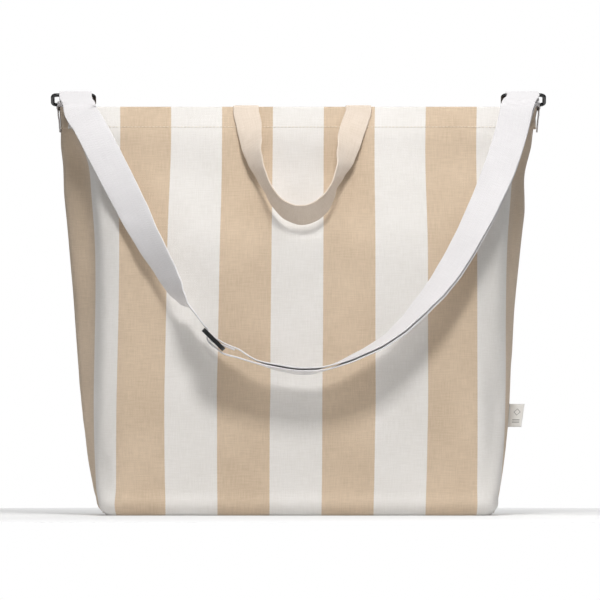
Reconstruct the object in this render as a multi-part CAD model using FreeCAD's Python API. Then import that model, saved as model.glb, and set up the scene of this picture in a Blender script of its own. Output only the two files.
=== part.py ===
import FreeCAD, Part
import math
import os
from FreeCAD import Vector

# Striped canvas tote bag with two hand loops and an adjustable shoulder strap. Millimetres.
# Origin: centre of the underside of the base. +Z up, the front faces -Y, +X to the right.

# ---- driving dimensions ------------------------------------------------------------------
HEIGHT = 475.0             # base to rim
BASE_LENGTH = 465.0
BASE_DEPTH = 195.0
MOUTH_LENGTH = 560.0       # across the rim, side seam to side seam
MOUTH_DEPTH = 120.0
HEM_HEIGHT = 24.0
CANVAS = 2.0               # doubled-up canvas wall
GAP = 0.3                  # between pieces that only lie against each other

HANDLE_WIDTH = 30.0
HANDLE_THICKNESS = 2.0
HANDLE_LEFT_X = -61.0      # where the two arms leave the rim
HANDLE_RIGHT_X = 70.0
HANDLE_STAND_OFF = 2.5     # centre line of the hanging handle in front of the canvas

STRAP_WIDTH = 38.0
STRAP_THICKNESS = 2.0
PLY_SPACING = 3.6          # centre to centre where the strap lies double

RING_X = 263.0             # centre of each ring
RING_LENGTH = 53.0
RING_HEIGHT = 26.0
RING_ROD = 4.5
RING_CORNER = 4.8
RING_LIFT = 4.5            # axis of the held bar above the rim
RING_LEAN = 59.0           # degrees, the free bar leans forward from upright
TAB_WIDTH = 25.0
TAB_DROP = 28.0            # sewn length of the tab below the rim
TAB_PLY = 1.8

SLIDER_CENTRE = Vector(-98.8, -133.0, 205.0)
SLIDER_SLOPE = 44.5        # degrees below the horizontal, towards +X
SLIDER_LENGTH = 34.0       # along the strap
SLIDER_WIDTH = 49.0
SLIDER_THICKNESS = 5.0
SLIDER_END_BAR = 3.0
SLIDER_CROSSBAR = 4.0      # diameter of the middle bar
SEWN_PLY = 1.5             # the sewn end is pressed thinner

LABEL_WIDTH = 17.0
LABEL_HEIGHT = 27.0
LABEL_THICKNESS = 0.8
LABEL_MID_HEIGHT = 116.0

STITCH = 0.8               # thickness of a thread line

# ---- outline of the bag ------------------------------------------------------------------
# One row for each level: height, seam x, shoulder x, shoulder y, flat front half width, half depth.
LEVELS = [
    (CANVAS, BASE_LENGTH / 2, BASE_LENGTH / 2, 84.0, 221.0, BASE_DEPTH / 2),
    (60.0, 241.0, 239.0, 68.0, 217.0, 102.0),
    (135.0, 252.0, 243.0, 62.0, 213.0, 106.0),
    (320.0, 261.0, 246.0, 58.0, 211.0, 103.0),
    (410.0, 268.0, 256.0, 54.0, 230.0, 83.0),
    (HEIGHT, MOUTH_LENGTH / 2, 274.0, 48.0, 264.0, MOUTH_DEPTH / 2),
]


def offset_line(start, end, distance):
    """Moves a straight stretch of outline to its left by a distance."""
    along = (end[0] - start[0], end[1] - start[1])
    length = math.hypot(along[0], along[1])
    shift = (-along[1] / length * distance, along[0] / length * distance)
    return (start[0] + shift[0], start[1] + shift[1]), along


def crossing(first, second):
    """Point where two lines, each a point and a direction, cross."""
    (ax, ay), (adx, ady) = first
    (bx, by), (bdx, bdy) = second
    scale = ((bx - ax) * bdy - (by - ay) * bdx) / (adx * bdy - ady * bdx)
    return ax + adx * scale, ay + ady * scale


def level_outline(level, inset):
    """Front half of one level, left seam to right seam, moved inwards by the inset."""
    _, seam, shoulder_x, shoulder_y, flat, depth = level
    right = [(flat, -depth), (shoulder_x, -shoulder_y), (seam, 0.0)]
    points = [(-x, y) for x, y in reversed(right)] + right
    middle_line = ((0.0, 0.0), (1.0, 0.0))
    lines = [offset_line(a, b, inset) for a, b in zip(points, points[1:])]
    lines = [middle_line] + lines + [middle_line]
    return [crossing(a, b) for a, b in zip(lines, lines[1:])]


def outline_at(height, inset):
    """Outline at any height, straight between the levels above and below it."""
    for low, high in zip(LEVELS, LEVELS[1:]):
        if height <= high[0]:
            break
    share = (height - low[0]) / (high[0] - low[0])
    pairs = zip(level_outline(low, inset), level_outline(high, inset))
    return [(a[0] + (b[0] - a[0]) * share, a[1] + (b[1] - a[1]) * share) for a, b in pairs]


def front_depth(height):
    """How far the front of the bag stands out from its middle plane at a height."""
    return -outline_at(height, 0.0)[2][1]


def seam_x(height):
    return outline_at(height, 0.0)[-1][0]


def wall(bottom, top, outer_inset, inner_inset, side):
    """Half shell between two heights and two insets. side is -1 at the front and 1 at the back."""
    heights = [bottom] + [level[0] for level in LEVELS if bottom < level[0] < top] + [top]
    sections = []
    for height in heights:
        ring = outline_at(height, outer_inset) + outline_at(height, inner_inset)[::-1]
        points = [Vector(x, -side * y, height) for x, y in ring]
        sections.append(Part.makePolygon(points + [points[0]]))
    return Part.makeLoft(sections, True, True)


# ---- flat webbing ------------------------------------------------------------------------
def station(point, across, normal, width, thickness):
    """Corners of the rectangular section of a ribbon."""
    half_width = across * (width / 2)
    half_thickness = normal * (thickness / 2)
    return [
        point - half_width - half_thickness,
        point + half_width - half_thickness,
        point + half_width + half_thickness,
        point - half_width + half_thickness,
    ]


def frames(points, across_hints):
    """Tangent, across and normal directions along a ribbon's centre line."""
    result = []
    for index, point in enumerate(points):
        before = points[max(index - 1, 0)]
        after = points[min(index + 1, len(points) - 1)]
        tangent = (after - before).normalize()
        hint = across_hints[index]
        across = (hint - tangent * hint.dot(tangent)).normalize()
        result.append((point, across, tangent.cross(across)))
    return result


def ribbon(points, across_hints, width, thickness):
    """Strip of webbing: ruled faces from each section to the next, and a flat face at each end."""
    sections = [station(p, a, n, width, thickness) for p, a, n in frames(points, across_hints)]
    faces = [Part.Face(Part.makePolygon(end + [end[0]])) for end in (sections[0], sections[-1])]
    for here, there in zip(sections, sections[1:]):
        for one, two in ((0, 1), (1, 2), (2, 3), (3, 0)):
            near = Part.makeLine(here[one], here[two])
            far = Part.makeLine(there[one], there[two])
            faces.append(Part.makeRuledSurface(near, far))
    shell = Part.makeShell(faces)
    shell.sewShape()
    strip = Part.makeSolid(shell)
    if strip.Volume < 0:
        strip.reverse()
    return strip


def canvas_normal(height):
    """Direction straight out of the front of the bag at a height."""
    step = 8.0
    low = max(height - step, 0.0)
    high = min(height + step, HEIGHT)
    slope = (front_depth(high) - front_depth(low)) / (high - low) if high > low else 0.0
    return Vector(0, -1, -slope).normalize()


def twisted(point, tangent, degrees):
    """Across direction: 0 lies flat to the front of the bag, 90 stands square to it."""
    turn = math.radians(degrees)
    outward = canvas_normal(min(point.z, HEIGHT))
    in_plane = tangent.cross(outward).normalize()
    return in_plane * math.cos(turn) - outward * math.sin(turn)


def twist_hints(points, twists):
    hints = []
    for index, degrees in enumerate(twists):
        before = points[max(index - 1, 0)]
        after = points[min(index + 1, len(points) - 1)]
        hints.append(twisted(points[index], (after - before).normalize(), degrees))
    return hints


def in_front(x, z, stand_off):
    """Point at a stand-off in front of the bag."""
    return Vector(x, -front_depth(min(z, HEIGHT)) - stand_off, z)


def save(name, shape):
    if not shape.isValid() or shape.Volume <= 0:
        raise ValueError(name + " is not a closed valid solid")
    shape.exportStep("parts/" + name + ".step")


# ---- canvas body -------------------------------------------------------------------------
def base_panel():
    front = level_outline(LEVELS[0], 0.0)
    back = [(x, -y) for x, y in front[::-1]][1:-1]
    points = [Vector(x, y, 0) for x, y in front + back]
    outline = Part.makePolygon(points + [points[0]])
    return Part.Face(outline).extrude(Vector(0, 0, CANVAS))


def side_seam(side):
    """Bound seam allowance that runs down the inside of a side seam."""
    tape_width = 10.0
    tape_thickness = 1.5
    sections = []
    for height in (CANVAS + 12.0, 60.0, 135.0, 320.0, 410.0, HEIGHT - HEM_HEIGHT - 1.0):
        outer = seam_x(height) - CANVAS - 1.4
        corners = [
            Vector(side * outer, -tape_width / 2, height),
            Vector(side * outer, tape_width / 2, height),
            Vector(side * (outer - tape_thickness), tape_width / 2, height),
            Vector(side * (outer - tape_thickness), -tape_width / 2, height),
        ]
        sections.append(Part.makePolygon(corners + [corners[0]]))
    return Part.makeLoft(sections, True, True)


def corner_seam(side):
    """Bound seam allowance across one end of the boxed base, inside the bag."""
    length = 150.0
    thickness = 1.5
    height = 10.0
    inner = BASE_LENGTH / 2 - CANVAS - GAP - thickness
    low_x = inner if side > 0 else -inner - thickness
    return Part.makeBox(thickness, length, height, Vector(low_x, -length / 2, CANVAS))


# ---- hand loops --------------------------------------------------------------------------
# Centre line of the hanging loop: x, distance below the rim, twist in degrees.
HANDLE_ROUTE = [
    (HANDLE_LEFT_X, -0.2, 0),
    (HANDLE_LEFT_X, 5.0, 1),
    (-58.0, 18.0, 10),
    (-55.0, 38.0, 34),
    (-51.0, 58.0, 56),
    (-43.7, 77.0, 69),
    (-36.0, 93.0, 76),
    (-25.6, 110.0, 71),
    (-11.0, 121.5, 60),
    (4.0, 125.0, 52),
    (16.5, 122.0, 55),
    (28.0, 114.0, 61),
    (36.7, 102.0, 72),
    (42.0, 90.0, 80),
    (48.5, 75.0, 71),
    (55.3, 54.0, 45),
    (60.3, 34.0, 20),
    (65.5, 18.0, 3),
    (HANDLE_RIGHT_X, 5.0, 0),
    (HANDLE_RIGHT_X, -0.2, 0),
]


def handle(side):
    """Loop that hangs from the rim. side is -1 at the front and 1 at the back."""
    points = []
    twists = []
    for x, down, twist in HANDLE_ROUTE:
        edge_reach = math.sin(math.radians(twist)) * HANDLE_WIDTH / 2
        points.append(in_front(x, HEIGHT - down, HANDLE_STAND_OFF + edge_reach))
        twists.append(twist)
    loop = ribbon(points, twist_hints(points, twists), HANDLE_WIDTH, HANDLE_THICKNESS)
    return loop if side < 0 else loop.mirror(Vector(0, 0, 0), Vector(0, 1, 0))


def handle_end(x, side):
    """Sewn end of a handle: a tongue inside the hem that turns over the top of the rim."""
    inner_y = MOUTH_DEPTH / 2 - 2 * CANVAS - GAP
    drop = HEM_HEIGHT - 1.0
    low = outline_at(HEIGHT - drop, 2 * CANVAS)[2][1]
    top = outline_at(HEIGHT, 2 * CANVAS)[2][1]
    left = x - HANDLE_WIDTH / 2
    profile = [
        Vector(left, low + GAP, HEIGHT - drop),
        Vector(left, top + GAP, HEIGHT + GAP),
        Vector(left, -(MOUTH_DEPTH / 2 - 0.7), HEIGHT + GAP),
        Vector(left, -(MOUTH_DEPTH / 2 - 0.7), HEIGHT + GAP + HANDLE_THICKNESS),
        Vector(left, -(inner_y - HANDLE_THICKNESS), HEIGHT + GAP + HANDLE_THICKNESS),
        Vector(left, low + GAP + HANDLE_THICKNESS, HEIGHT - drop),
    ]
    end = Part.Face(Part.makePolygon(profile + [profile[0]])).extrude(Vector(HANDLE_WIDTH, 0, 0))
    return end if side < 0 else end.mirror(Vector(0, 0, 0), Vector(0, 1, 0))


# ---- rings and their tabs ----------------------------------------------------------------
RING_AXIS_Z = HEIGHT + RING_LIFT
BAR_SPACING = RING_HEIGHT - RING_ROD
FREE_BAR_Y = -BAR_SPACING * math.sin(math.radians(RING_LEAN))
FREE_BAR_Z = RING_AXIS_Z + BAR_SPACING * math.cos(math.radians(RING_LEAN))


def ring(side):
    """Rod bent to a rounded rectangle, held by its lower bar and leaning forward."""
    half = (RING_LENGTH - RING_ROD) / 2
    radius = RING_CORNER
    flat = half - radius
    corner = radius * math.sqrt(0.5)
    rise = BAR_SPACING
    outline = [
        Part.LineSegment(Vector(-flat, 0, 0), Vector(flat, 0, 0)),
        Part.Arc(Vector(flat, 0, 0), Vector(flat + corner, 0, radius - corner), Vector(half, 0, radius)),
        Part.LineSegment(Vector(half, 0, radius), Vector(half, 0, rise - radius)),
        Part.Arc(Vector(half, 0, rise - radius), Vector(flat + corner, 0, rise - radius + corner),
                 Vector(flat, 0, rise)),
        Part.LineSegment(Vector(flat, 0, rise), Vector(-flat, 0, rise)),
        Part.Arc(Vector(-flat, 0, rise), Vector(-flat - corner, 0, rise - radius + corner),
                 Vector(-half, 0, rise - radius)),
        Part.LineSegment(Vector(-half, 0, rise - radius), Vector(-half, 0, radius)),
        Part.Arc(Vector(-half, 0, radius), Vector(-flat - corner, 0, radius - corner), Vector(-flat, 0, 0)),
    ]
    path = Part.Wire([piece.toShape() for piece in outline])
    section = Part.Wire(Part.makeCircle(RING_ROD / 2, Vector(-flat, 0, 0), Vector(1, 0, 0)))
    loop = path.makePipeShell([section], True, False)
    loop.rotate(Vector(0, 0, 0), Vector(1, 0, 0), RING_LEAN)
    loop.translate(Vector(side * RING_X, 0, RING_AXIS_Z))
    return loop


def ring_tab(side):
    """Doubled webbing sewn down the outside of the side seam, its top wrapped round the ring."""
    bore = RING_ROD / 2 + 0.08
    wrap_start = RING_X - 1.0
    wrap_end = RING_X + (RING_LENGTH - RING_ROD) / 2 - RING_CORNER
    bridge_low = HEIGHT + GAP
    bridge_high = RING_AXIS_Z - RING_ROD / 2 - GAP
    outside = MOUTH_LENGTH / 2 + 2 * GAP
    drop = seam_x(HEIGHT - TAB_DROP) - seam_x(HEIGHT)
    profile = [
        Vector(outside, -TAB_WIDTH / 2, bridge_high),
        Vector(outside + TAB_PLY, -TAB_WIDTH / 2, bridge_high),
        Vector(outside + TAB_PLY + drop, -TAB_WIDTH / 2, HEIGHT - TAB_DROP),
        Vector(outside + drop, -TAB_WIDTH / 2, HEIGHT - TAB_DROP),
    ]
    patch = Part.Face(Part.makePolygon(profile + [profile[0]])).extrude(Vector(0, TAB_WIDTH, 0))
    bridge_depth = TAB_WIDTH * 0.6
    bridge = Part.makeBox(outside + TAB_PLY - wrap_start, bridge_depth, bridge_high - bridge_low,
                          Vector(wrap_start, -bridge_depth / 2, bridge_low))
    axis_start = Vector(wrap_start, 0, RING_AXIS_Z)
    wrap = Part.makeCylinder(bore + TAB_PLY, wrap_end - wrap_start, axis_start, Vector(1, 0, 0))
    tab = patch.fuse(bridge).fuse(wrap)
    tab = tab.cut(Part.makeCylinder(bore, 60.0, axis_start - Vector(20, 0, 0), Vector(1, 0, 0)))
    tab = tab.removeSplitter()
    return tab if side > 0 else tab.mirror(Vector(0, 0, 0), Vector(1, 0, 0))


# ---- shoulder strap ----------------------------------------------------------------------
WRAP_RADIUS = RING_ROD / 2 + GAP + STRAP_THICKNESS / 2
WRAP_STEPS = 11
SLIDER_DOWN = Vector(math.cos(math.radians(SLIDER_SLOPE)), 0, -math.sin(math.radians(SLIDER_SLOPE)))
SLIDER_UP = Vector(math.sin(math.radians(SLIDER_SLOPE)), 0, math.cos(math.radians(SLIDER_SLOPE)))
THREADED_LEFT = -24.0      # ends of the length of strap that is threaded through the slider
THREADED_RIGHT = 18.0
THREADED_LEVEL = -4.0
SEWN_END_REACH = 28.0      # where the sewn end meets the inner layer of the doubled run
SEWN_END_LEVEL = 12.0
LAP_LEVEL = 2.4 + STRAP_THICKNESS + SLIDER_THICKNESS / 2


def from_slider(along, up):
    """Point in the slider's own plane: along the strap, and up from the plate."""
    return SLIDER_CENTRE + SLIDER_DOWN * along + SLIDER_UP * up


def around_bar(x, start_degrees, end_degrees):
    """Points round the free bar of a ring, seen from the right: 0 is the front, 90 the top."""
    points = []
    for step in range(WRAP_STEPS):
        angle = math.radians(start_degrees + (end_degrees - start_degrees) * step / (WRAP_STEPS - 1))
        offset = Vector(0, -WRAP_RADIUS * math.cos(angle), WRAP_RADIUS * math.sin(angle))
        points.append(Vector(x, FREE_BAR_Y, FREE_BAR_Z) + offset)
    return points


def strap_upper_run():
    """Left ring to slider: the sewn end, the turn round the ring, then a single layer."""
    rim_bend = Vector(-257.0, -MOUTH_DEPTH / 2 - 3.0, HEIGHT + 4.4)
    sewn_end = [Vector(-261.5, -44.0, FREE_BAR_Z - 8.4), Vector(-262.8, -32.0, FREE_BAR_Z - 6.8)]
    wrap = around_bar(-263.0, -75.0, -285.0)
    lead = [Vector(-262.0, -40.0, FREE_BAR_Z - 4.0), rim_bend]
    flat_hints = [Vector(-1, 0, 0)] * (len(sewn_end) + len(wrap) + len(lead))
    hanging = [
        (in_front(-254.5, HEIGHT - 4.0, 6.0), 0),
        (in_front(-246.0, 458.0, 4.5), 0),
        (in_front(-214.0, 397.0, 7.5), 13),
        (in_front(-194.0, 358.0, 10.5), 24),
        (in_front(-175.0, 321.0, 15.5), 39),
        (in_front(-156.0, 288.0, 20.0), 49),
        (in_front(-145.0, 268.0, 24.5), 57),
        (in_front(-136.0, 253.5, 27.0), 72),
        (from_slider(-46.0, LAP_LEVEL + 1.2), 89),
        (from_slider(-33.0, LAP_LEVEL), 90),
        (from_slider(-19.0, LAP_LEVEL), 90),
    ]
    route = [point for point, _ in hanging]
    hints = twist_hints(route, [twist for _, twist in hanging])
    points = sewn_end + wrap + lead + route
    return ribbon(points, flat_hints + hints, STRAP_WIDTH, STRAP_THICKNESS)


def strap_threaded_length():
    """Part of the strap that moves with the slider: over one end bar, down, under the crossbar."""
    over = SLIDER_THICKNESS / 2 + GAP + STRAP_THICKNESS / 2
    under = -(SLIDER_CROSSBAR / 2 + SEWN_PLY + STRAP_THICKNESS / 2 + 3 * GAP)
    shape = [(THREADED_LEFT, over), (-15.0, over + 0.3), (-11.6, 3.4), (-8.8, 0.0), (-6.2, -4.4),
             (-2.0, under - 0.6), (4.0, under - 0.3), (11.0, -4.8), (THREADED_RIGHT, THREADED_LEVEL)]
    points = [from_slider(along, up) for along, up in shape]
    return ribbon(points, [Vector(0, 1, 0)] * len(points), STRAP_WIDTH, STRAP_THICKNESS)


def strap_doubled_run():
    """Slider to right ring and back: the outer layer, the turn round the ring, the inner layer."""
    bottom_y = SLIDER_CENTRE.y
    outer = [
        (from_slider(THREADED_RIGHT + 4 * GAP, THREADED_LEVEL + GAP), 90),
        (Vector(-71.0, bottom_y, 184.0), 90),
        (Vector(-50.0, bottom_y, 177.6), 90),
        (Vector(-22.0, bottom_y, 170.5), 86),
        (Vector(8.0, bottom_y, 166.5), 84),
        (Vector(38.0, bottom_y, 171.5), 91),
        (Vector(70.0, bottom_y, 184.5), 98),
        (Vector(102.0, bottom_y + 1.0, 202.0), 104),
        (Vector(126.0, bottom_y + 4.0, 222.0), 112),
        (in_front(147.0, 245.0, 21.5), 121),
        (in_front(163.0, 264.0, 19.0), 129),
        (in_front(180.0, 289.0, 16.0), 137),
        (in_front(197.0, 319.0, 13.5), 145),
        (in_front(218.0, 362.0, 9.5), 158),
        (in_front(237.0, 410.0, 5.8), 175),
        (in_front(249.0, 449.0, 5.4), 180),
    ]
    route = [point for point, _ in outer]
    run = frames(route, twist_hints(route, [twist for _, twist in outer]))
    left = Vector(-1, 0, 0)
    front_y = -MOUTH_DEPTH / 2
    over_outer = [Vector(255.5, front_y - 5.4, HEIGHT - 2.0), Vector(258.0, front_y - 1.6, HEIGHT + 4.4),
                  Vector(262.4, -38.0, FREE_BAR_Z - 6.0)]
    wrap = around_bar(263.0, 280.0, 80.0)
    over_inner = [Vector(262.4, -38.0, FREE_BAR_Z - 0.4), Vector(258.0, front_y - 3.0, HEIGHT + 8.4),
                  Vector(255.5, front_y - 8.6, HEIGHT + 3.0)]
    points = [point for point, _, _ in run] + over_outer + wrap + over_inner
    hints = [across for _, across, _ in run] + [left] * (len(points) - len(run))
    for point, across, normal in reversed(run[2:]):
        points.append(point + normal * PLY_SPACING)
        hints.append(across)
    ending = [Vector(-60.0, bottom_y, 187.2), from_slider(SEWN_END_REACH + 2.2, SEWN_END_LEVEL + 0.8)]
    points += ending
    hints += [Vector(0, 1, 0)] * len(ending)
    return ribbon(points, hints, STRAP_WIDTH, STRAP_THICKNESS)


def strap_sewn_end():
    """Other end of the strap, wrapped round the slider's crossbar and sewn back on itself."""
    radius = SLIDER_CROSSBAR / 2 + 0.12 + SEWN_PLY / 2
    shape = [(26.0, 8.6), (16.0, 4.4), (9.0, 1.4)]
    for step in range(WRAP_STEPS):
        angle = math.radians(-60.0 - 200.0 * step / (WRAP_STEPS - 1))
        shape.append((radius * math.cos(angle), radius * math.sin(angle)))
    shape += [(8.0, 4.4), (14.0, 6.2), (22.0, 9.3), (SEWN_END_REACH, SEWN_END_LEVEL)]
    points = [from_slider(along, up) for along, up in shape]
    return ribbon(points, [Vector(0, 1, 0)] * len(points), STRAP_WIDTH, SEWN_PLY)


def strap_slider():
    """Flat frame with a round crossbar between two windows."""
    inner_width = STRAP_WIDTH + 2.0
    half_length = SLIDER_LENGTH / 2
    plate = Part.makeBox(SLIDER_LENGTH, SLIDER_WIDTH, SLIDER_THICKNESS,
                         Vector(-half_length, -SLIDER_WIDTH / 2, -SLIDER_THICKNESS / 2))
    upright = [edge for edge in plate.Edges if abs(edge.tangentAt(edge.FirstParameter).z) > 0.9]
    plate = plate.makeFillet(4.0, upright)
    window = Part.makeBox(SLIDER_LENGTH - 2 * SLIDER_END_BAR, inner_width, SLIDER_THICKNESS * 2,
                          Vector(-half_length + SLIDER_END_BAR, -inner_width / 2, -SLIDER_THICKNESS))
    crossbar = Part.makeCylinder(SLIDER_CROSSBAR / 2, inner_width + 2.0,
                                 Vector(0, -inner_width / 2 - 1.0, 0), Vector(0, 1, 0))
    slider = plate.cut(window).fuse(crossbar).removeSplitter()
    slider.rotate(Vector(0, 0, 0), Vector(0, 1, 0), SLIDER_SLOPE)
    slider.translate(SLIDER_CENTRE)
    return slider


# ---- label and thread --------------------------------------------------------------------
def side_label():
    """Woven label whose sewn edge is the right side seam."""
    clearance = 3 * GAP
    low = LABEL_MID_HEIGHT - LABEL_HEIGHT / 2
    high = LABEL_MID_HEIGHT + LABEL_HEIGHT / 2
    outline = [
        Vector(seam_x(low) + clearance, -LABEL_THICKNESS / 2, low),
        Vector(seam_x(low) + clearance + LABEL_WIDTH, -LABEL_THICKNESS / 2, low),
        Vector(seam_x(high) + clearance + LABEL_WIDTH, -LABEL_THICKNESS / 2, high),
        Vector(seam_x(high) + clearance, -LABEL_THICKNESS / 2, high),
    ]
    return Part.Face(Part.makePolygon(outline + [outline[0]])).extrude(Vector(0, LABEL_THICKNESS, 0))


def hem_stitching(side):
    """Line of thread round one half of the bag, at the foot of the hem."""
    height = HEIGHT - HEM_HEIGHT + 1.5
    thread = wall(height, height + STITCH, -STITCH, -0.05, side)
    clear = seam_x(HEIGHT - HEM_HEIGHT) - 4.0
    keep = Part.makeBox(2 * clear, 400.0, 40.0, Vector(-clear, -200.0, height - 20.0))
    return thread.common(keep)


def thread_block(x, y, z, size_x, size_y, size_z):
    return Part.makeBox(size_x, size_y, size_z, Vector(x - size_x / 2, y - size_y / 2, z - size_z / 2))


def handle_end_stitching():
    """Two rows of thread across each sewn handle end, on the inside."""
    rows = []
    for side in (-1, 1):
        for x in (HANDLE_LEFT_X, HANDLE_RIGHT_X):
            for height in (HEIGHT - 19.0, HEIGHT - 6.0):
                inner = -outline_at(height, 2 * CANVAS)[2][1] - GAP - HANDLE_THICKNESS
                y = side * (inner - STITCH / 2 - 0.1)
                rows.append(thread_block(x, y, height, HANDLE_WIDTH - 6.0, STITCH, STITCH))
    return Part.makeCompound(rows)


def ring_tab_stitching():
    """Two rows of thread across each ring tab."""
    rows = []
    for side in (-1, 1):
        for height in (HEIGHT - TAB_DROP + 4.0, HEIGHT - 8.0):
            outer = seam_x(height) + GAP + TAB_PLY + 0.5
            rows.append(thread_block(side * (outer + STITCH / 2), 0.0, height, STITCH, TAB_WIDTH - 5.0, STITCH))
    return Part.makeCompound(rows)


def sewn_end_stitching():
    """Two rows of thread across the strap end that is sewn round the slider's crossbar."""
    row_length = STRAP_WIDTH - 6.0
    rows = []
    for along, level in ((19.0, 9.6), (24.0, 11.7)):
        row = Part.makeBox(STITCH, row_length, STITCH / 2, Vector(along, -row_length / 2, level))
        row.rotate(Vector(0, 0, 0), Vector(0, 1, 0), SLIDER_SLOPE)
        row.translate(SLIDER_CENTRE)
        rows.append(row)
    return Part.makeCompound(rows)


def main():
    os.makedirs("parts", exist_ok=True)
    save("front_panel", wall(CANVAS, HEIGHT, 0.0, CANVAS, -1))
    save("back_panel", wall(CANVAS, HEIGHT, 0.0, CANVAS, 1))
    save("base_panel", base_panel())
    save("front_hem", wall(HEIGHT - HEM_HEIGHT, HEIGHT, CANVAS, 2 * CANVAS, -1))
    save("back_hem", wall(HEIGHT - HEM_HEIGHT, HEIGHT, CANVAS, 2 * CANVAS, 1))
    for name, side in (("left", -1), ("right", 1)):
        save(name + "_side_seam", side_seam(side))
        save(name + "_corner_seam", corner_seam(side))
        save(name + "_ring", ring(side))
        save(name + "_ring_tab", ring_tab(side))
    for name, side in (("front", -1), ("back", 1)):
        save(name + "_handle", handle(side))
        save(name + "_handle_left_end", handle_end(HANDLE_LEFT_X, side))
        save(name + "_handle_right_end", handle_end(HANDLE_RIGHT_X, side))
        save(name + "_hem_stitching", hem_stitching(side))
    save("strap_upper_run", strap_upper_run())
    save("strap_threaded_length", strap_threaded_length())
    save("strap_doubled_run", strap_doubled_run())
    save("strap_sewn_end", strap_sewn_end())
    save("strap_slider", strap_slider())
    save("side_label", side_label())
    save("handle_end_stitching", handle_end_stitching())
    save("ring_tab_stitching", ring_tab_stitching())
    save("sewn_end_stitching", sewn_end_stitching())


main()
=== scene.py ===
import bpy
import math
import numpy as np
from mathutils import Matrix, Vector, noise


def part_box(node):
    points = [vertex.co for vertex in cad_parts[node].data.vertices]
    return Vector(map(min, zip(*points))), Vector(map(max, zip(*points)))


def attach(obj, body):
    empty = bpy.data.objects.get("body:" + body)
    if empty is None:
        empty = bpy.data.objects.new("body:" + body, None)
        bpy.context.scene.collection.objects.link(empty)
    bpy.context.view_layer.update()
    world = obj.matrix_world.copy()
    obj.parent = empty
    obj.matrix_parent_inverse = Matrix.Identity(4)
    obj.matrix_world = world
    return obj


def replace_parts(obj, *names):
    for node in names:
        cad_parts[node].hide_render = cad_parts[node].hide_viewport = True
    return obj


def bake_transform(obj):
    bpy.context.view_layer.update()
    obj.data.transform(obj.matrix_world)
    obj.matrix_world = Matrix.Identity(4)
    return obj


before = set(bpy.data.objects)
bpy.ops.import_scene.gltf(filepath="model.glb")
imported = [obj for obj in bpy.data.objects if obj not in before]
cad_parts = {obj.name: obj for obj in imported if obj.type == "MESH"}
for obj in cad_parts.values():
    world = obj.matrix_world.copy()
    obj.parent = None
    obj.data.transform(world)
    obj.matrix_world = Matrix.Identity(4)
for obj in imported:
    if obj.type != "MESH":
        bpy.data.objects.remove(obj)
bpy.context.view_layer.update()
MM = 0.001

# ---- sizes read from the frame ---------------------------------------------------------------
panel_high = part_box("front_panel")[1]
RIM_Z = panel_high.z / MM
HALF_MOUTH = panel_high.x / MM
MOUTH_HALF_DEPTH = 60.0
HEM = RIM_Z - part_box("front_hem")[0].z / MM
HANDLE_WIDTH = 30.0
STRAP_WIDTH = 38.0
ring_low, ring_high = (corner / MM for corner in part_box("right_ring"))
RING_X = (ring_low.x + ring_high.x) / 2
ROD = 4.5
BAR_SPACING = 21.5
RING_LEAN = math.radians(59.0)
AXIS_Z = ring_low.z + ROD / 2
FREE_Y = -BAR_SPACING * math.sin(RING_LEAN)
FREE_Z = AXIS_Z + BAR_SPACING * math.cos(RING_LEAN)
slider_low, slider_high = (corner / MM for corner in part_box("strap_slider"))
SLIDER_CENTRE = (slider_low + slider_high) / 2
SLIDER_SLOPE = math.radians(44.5)
SLIDER_DOWN = Vector((math.cos(SLIDER_SLOPE), 0, -math.sin(SLIDER_SLOPE)))
SLIDER_UP = Vector((math.sin(SLIDER_SLOPE), 0, math.cos(SLIDER_SLOPE)))
CLOTH_HALF = 330.0          # flat width of a panel from its middle to its side seam
CLOTH = 1.2                 # thickness of the canvas
STRIPE = 60.0

# Level rows: height, seam x, shoulder x, shoulder y, flat half width, half depth.
LEVELS = [
    (2.0, 232.5, 232.5, 84.0, 226.0, 97.5),
    (60.0, 241.0, 239.0, 70.0, 225.0, 102.0),
    (135.0, 252.0, 243.0, 65.0, 222.0, 106.0),
    (320.0, 261.0, 248.0, 60.0, 221.0, 103.0),
    (410.0, 268.0, 257.0, 56.0, 238.0, 83.0),
    (475.0, 280.0, 275.0, 48.0, 266.0, 60.0),
]
# How far each side stands out from the frame's outline: height, millimetres.
LEFT_BULGE = [
    (0, 0.5), (65, 5.5), (135, 5.5), (240, 9.5), (309, 12.5), (379, 14), (432, 9.5), (449, 4), (475, 0),
]
RIGHT_BULGE = [
    (0, -1), (90, 0), (150, -2.3), (240, -2.3), (300, 1.5), (355, 4.2), (397, 0), (430, 3), (449, 0),
    (475, 0),
]
# How far the left side's shoulder is tucked in: height, millimetres.
LEFT_TUCK = [(0, 0), (60, 1), (135, 4), (250, 9), (430, 9), (455, 3), (475, 0)]


def mix(a, b, share):
    return a + (b - a) * share


def smooth(low, high, value):
    share = min(max((value - low) / (high - low), 0.0), 1.0)
    return share * share * (3 - 2 * share)


def from_rows(rows, height):
    """Row of numbers at a height, straight between the rows given."""
    heights = [row[0] for row in rows]
    return [float(np.interp(height, heights, column)) for column in list(zip(*rows))[1:]]


def front_depth(height):
    return from_rows(LEVELS, min(height, RIM_Z))[4]


# ---- camera, light and floor -----------------------------------------------------------------
PHOTO_CENTRE = Vector((0.0018, 0.0, 0.251))
PHOTO_WIDTH = 0.699
CAMERA_DISTANCE = 25.0
camera = bpy.data.objects.new("Camera", bpy.data.cameras.new("Camera"))
bpy.context.scene.collection.objects.link(camera)
camera.data.sensor_width = 36.0
camera.data.lens = 36.0 * (CAMERA_DISTANCE - 0.1) / PHOTO_WIDTH
camera.location = PHOTO_CENTRE + Vector((0, -CAMERA_DISTANCE, 0))
camera.rotation_euler = (math.radians(90), 0, 0)
camera.data.clip_end = 120
bpy.context.scene.camera = camera


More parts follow.
